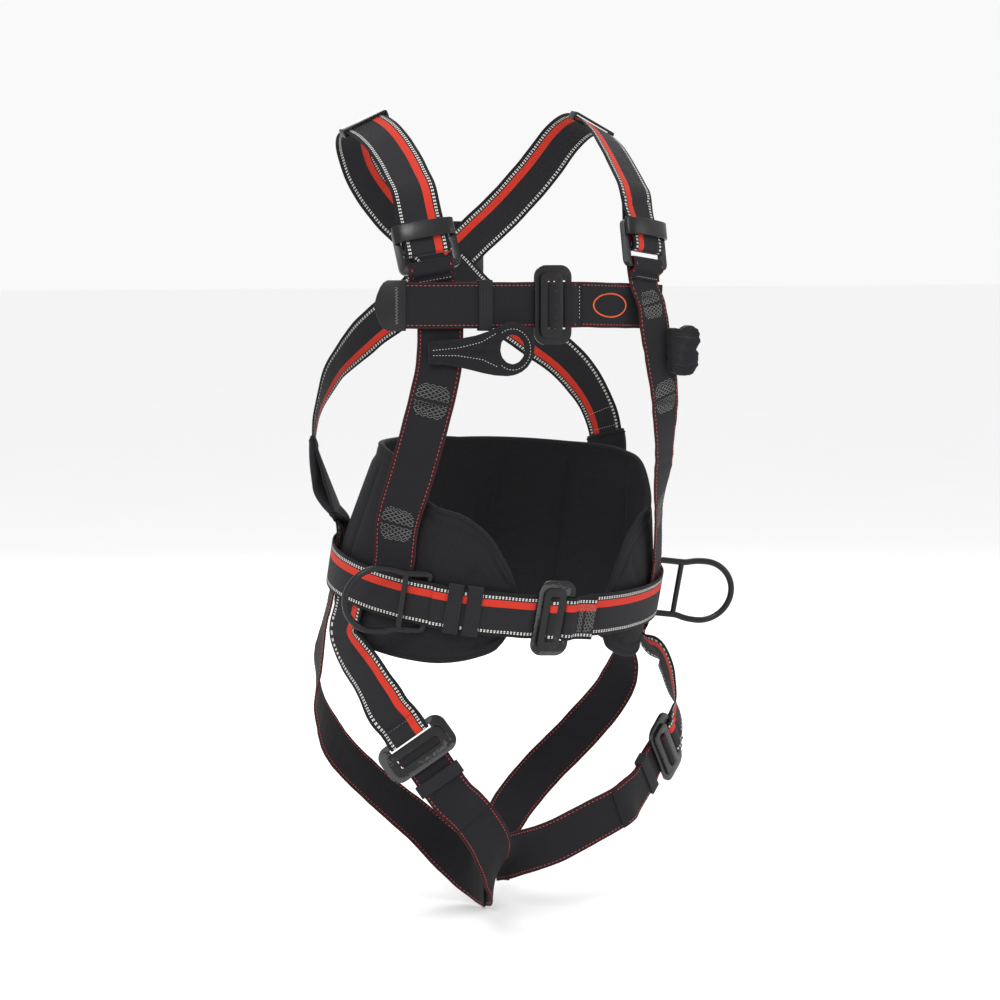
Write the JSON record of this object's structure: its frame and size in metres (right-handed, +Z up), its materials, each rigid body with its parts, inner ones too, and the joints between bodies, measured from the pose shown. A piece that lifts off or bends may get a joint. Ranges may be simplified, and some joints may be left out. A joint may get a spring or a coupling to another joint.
{
  "type": "full-body safety harness",
  "caption": "Full-body fall-arrest harness in its worn shape: striped webbing, padded waist belt, pass-through buckles, side rings and a back ring.",
  "frame": {"origin": "on the wearer's upright axis, level with the lowest fold of the leg straps", "axes": "+Z up, -Y the wearer's front, +X the wearer's left"},
  "size_m": [0.4572, 0.2994, 0.8253],
  "materials": {
    "striped_webbing": "woven polyester, charcoal with a red stripe and white dashes",
    "plain_webbing": "woven polyester, near black with dotted red edge stitching",
    "padding": "smooth padded knit, black",
    "coated_metal": "black coated steel, satin",
    "moulded_plastic": "black moulded plastic",
    "elastic": "ribbed elastic band, charcoal"
  },
  "bodies": {
    "webbing": {"waist_pad": "padding", "belt_buckle_frame": "coated_metal", "belt_buckle_bar": "coated_metal", "belt_strap_right": "striped_webbing", "belt_strap_left": "striped_webbing", "shoulder_adjuster_right_frame": "coated_metal", "shoulder_adjuster_right_bar": "coated_metal", "shoulder_adjuster_right_cover": "moulded_plastic", "shoulder_adjuster_left_frame": "coated_metal", "shoulder_adjuster_left_bar": "coated_metal", "shoulder_adjuster_left_cover": "moulded_plastic", "shoulder_strap_right": "striped_webbing", "shoulder_strap_left": "striped_webbing", "front_strap_right": "plain_webbing", "front_strap_left": "plain_webbing", "chest_buckle_frame": "coated_metal", "chest_buckle_bar": "coated_metal", "chest_strap_right": "plain_webbing", "chest_strap_left": "plain_webbing", "chest_end_cap": "moulded_plastic", "leg_buckle_right_frame": "coated_metal", "leg_buckle_right_bar": "coated_metal", "leg_strap_right": "plain_webbing", "hip_strap_right": "striped_webbing", "seat_strap_right": "plain_webbing", "leg_buckle_left_frame": "coated_metal", "leg_buckle_left_bar": "coated_metal", "leg_strap_left": "plain_webbing", "hip_strap_left": "striped_webbing", "seat_strap_left": "plain_webbing", "back_strap_right": "striped_webbing", "back_sleeve_right": "padding", "back_strap_left": "striped_webbing", "back_sleeve_left": "padding", "dorsal_plate": "moulded_plastic", "dorsal_loop": "plain_webbing"},
    "back_ring": {"dorsal_ring": "coated_metal"},
    "right_ring": {"side_ring_right": "coated_metal"},
    "left_ring": {"side_ring_left": "coated_metal"},
    "right_loop": {"chest_loop_right": "plain_webbing"},
    "left_loop": {"chest_loop_left": "plain_webbing"},
    "front_belt_keeper": {"belt_keeper_front": "elastic"},
    "rear_belt_keeper": {"belt_keeper_rear": "elastic"},
    "chest_band": {"chest_keeper": "elastic"},
    "right_leg_keeper": {"leg_keeper_right": "elastic"},
    "left_leg_keeper": {"leg_keeper_left": "elastic"},
    "right_slider": {"shoulder_slider_right": "moulded_plastic"},
    "left_slider": {"shoulder_slider_left": "moulded_plastic"}
  },
  "joints": [
    {"name": "dorsal_ring_swing", "type": "hinge", "parent": "webbing", "child": "back_ring", "pos_m": [0, 0.142, 0.682], "axis": [1, 0, 0], "range_deg": [0, 165]},
    {"name": "side_ring_right_swing", "type": "hinge", "parent": "webbing", "child": "right_ring", "pos_m": [-0.1189, -0.09059, 0.33498], "axis": [0.0645, -0.2245, 0.9723], "range_deg": [0, 95]},
    {"name": "side_ring_left_swing", "type": "hinge", "parent": "webbing", "child": "left_ring", "pos_m": [0.16916, -0.02693, 0.33055], "axis": [0.0645, -0.2245, 0.9723], "range_deg": [-55, 50]},
    {"name": "chest_loop_right_swing", "type": "hinge", "parent": "webbing", "child": "right_loop", "pos_m": [-0.127, -0.115, 0.582], "axis": [-0.0377, 0.0133, 0.9992], "range_deg": [-60, 0]},
    {"name": "chest_loop_left_swing", "type": "hinge", "parent": "webbing", "child": "left_loop", "pos_m": [0.1334, -0.1246, 0.582], "axis": [0, 0, 1], "range_deg": [-50, 0]},
    {"name": "belt_keeper_front_slide", "type": "slide", "parent": "webbing", "child": "front_belt_keeper", "axis": [0.9389, -0.3164, -0.1354], "range_m": [-0.002, 0.004]},
    {"name": "belt_keeper_rear_slide", "type": "slide", "parent": "webbing", "child": "rear_belt_keeper", "axis": [0.9036, -0.4003, -0.1524], "range_m": [-0.002, 0.002]},
    {"name": "chest_keeper_slide", "type": "slide", "parent": "webbing", "child": "chest_band", "axis": [0.9869, -0.1615, 0], "range_m": [-0.008, 0.01]},
    {"name": "leg_keeper_right_slide", "type": "slide", "parent": "webbing", "child": "right_leg_keeper", "axis": [-0.5109, 0.2657, 0.8175], "range_m": [-0.003, 0.003]},
    {"name": "leg_keeper_left_slide", "type": "slide", "parent": "webbing", "child": "left_leg_keeper", "axis": [0.6641, 0.3622, 0.654], "range_m": [-0.003, 0.003]},
    {"name": "shoulder_slider_right_slide", "type": "slide", "parent": "webbing", "child": "right_slider", "axis": [0.0102, 0.9907, 0.1355], "range_m": [-0.005, 0.005]},
    {"name": "shoulder_slider_left_slide", "type": "slide", "parent": "webbing", "child": "left_slider", "axis": [0.0302, 0.9748, 0.2211], "range_m": [-0.005, 0.005]}
  ]
}
